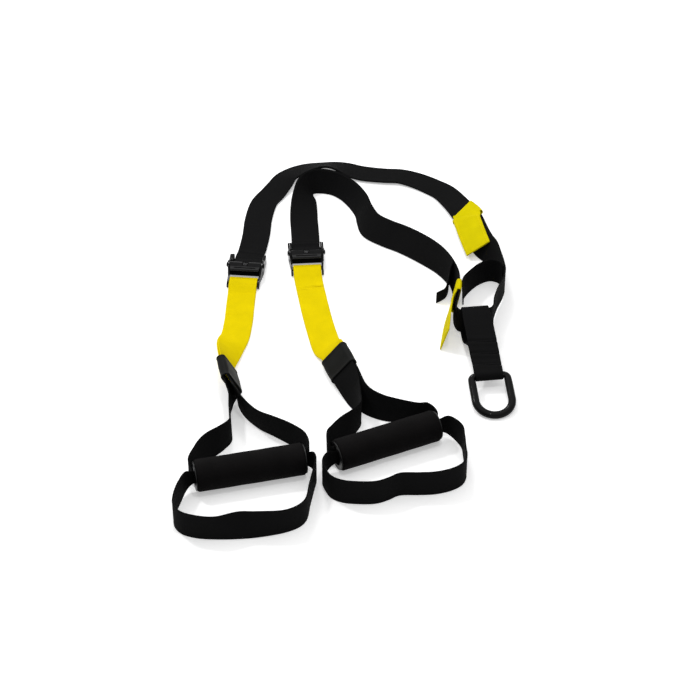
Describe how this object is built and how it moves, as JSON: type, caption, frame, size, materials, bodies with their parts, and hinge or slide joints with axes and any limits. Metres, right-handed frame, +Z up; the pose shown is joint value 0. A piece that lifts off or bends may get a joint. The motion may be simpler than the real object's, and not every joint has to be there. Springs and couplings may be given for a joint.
{
  "type": "suspension trainer",
  "caption": "Suspension trainer laid out: webbing legs with cam buckles, foam grips and foot cradles, meeting at a sewn anchor loop with a D-ring.",
  "frame": {"origin": "middle of the bounding box's footprint, on the floor that the trainer lies on", "axes": "+Z up; +Y away from the viewer, along the laid-out length; +X to the right"},
  "size_m": [0.4188, 0.7726, 0.044],
  "materials": {
    "black_webbing": "woven polyester webbing, matt",
    "yellow_webbing": "woven polyester webbing, matt",
    "sleeve_cloth": "coated cloth, slight sheen",
    "foam": "closed-cell foam, matt",
    "black_plastic": "moulded, satin",
    "black_steel": "black coating, glossy",
    "bare_steel": "spring wire"
  },
  "bodies": {
    "webbing": {"left_buckle_frame": "black_steel", "left_lower_bar": "black_steel", "left_turn_bar": "black_steel", "left_cam_pin": "black_steel", "left_cam_spring": "bare_steel", "left_yellow_strap": "yellow_webbing", "left_sleeve": "sleeve_cloth", "left_handle_webbing": "black_webbing", "left_foot_cradle": "black_webbing", "left_leg_strap": "black_webbing", "left_tab": "yellow_webbing", "right_buckle_frame": "black_steel", "right_lower_bar": "black_steel", "right_turn_bar": "black_steel", "right_cam_pin": "black_steel", "right_cam_spring": "bare_steel", "right_yellow_strap": "yellow_webbing", "right_sleeve": "sleeve_cloth", "right_handle_webbing": "black_webbing", "right_foot_cradle": "black_webbing", "right_leg_strap": "black_webbing", "right_tab": "yellow_webbing", "locking_loop": "black_webbing", "anchor_strap": "black_webbing"},
    "ring": {"anchor_ring": "black_steel"},
    "left_lever": {"left_cam_lever": "black_steel"},
    "left_grip": {"left_foam_grip": "foam", "left_grip_tube": "black_plastic", "left_outer_cap": "black_plastic", "left_inner_cap": "black_plastic"},
    "right_lever": {"right_cam_lever": "black_steel"},
    "right_grip": {"right_foam_grip": "foam", "right_grip_tube": "black_plastic", "right_outer_cap": "black_plastic", "right_inner_cap": "black_plastic"}
  },
  "joints": [
    {"name": "ring_pivot", "type": "hinge", "parent": "webbing", "child": "ring", "pos_m": [0.17666, -0.11249, 0.01883], "axis": [0.9927, 0.1208, 0], "range_deg": [-100, 60]},
    {"name": "left_cam_release", "type": "hinge", "parent": "webbing", "child": "left_lever", "pos_m": [-0.14275, 0.1215, 0.01583], "axis": [0.9959, -0.0906, 0], "range_deg": [0, 22], "stiffness_Nm_per_rad": 0.03, "springref_deg": -28.65, "deforming": ["left_cam_spring"]},
    {"name": "left_grip_spin", "type": "hinge", "parent": "webbing", "child": "left_grip", "pos_m": [-0.12134, -0.28349, 0.02003], "axis": [0.9732, 0.23, 0], "continuous": true},
    {"name": "right_cam_release", "type": "hinge", "parent": "webbing", "child": "right_lever", "pos_m": [-0.06041, 0.14951, 0.01583], "axis": [0.9978, 0.0663, 0], "range_deg": [0, 22], "stiffness_Nm_per_rad": 0.03, "springref_deg": -28.65, "deforming": ["right_cam_spring"]},
    {"name": "right_grip_spin", "type": "hinge", "parent": "webbing", "child": "right_grip", "pos_m": [0.04466, -0.23549, 0.02003], "axis": [0.9114, 0.4115, 0], "continuous": true}
  ]
}
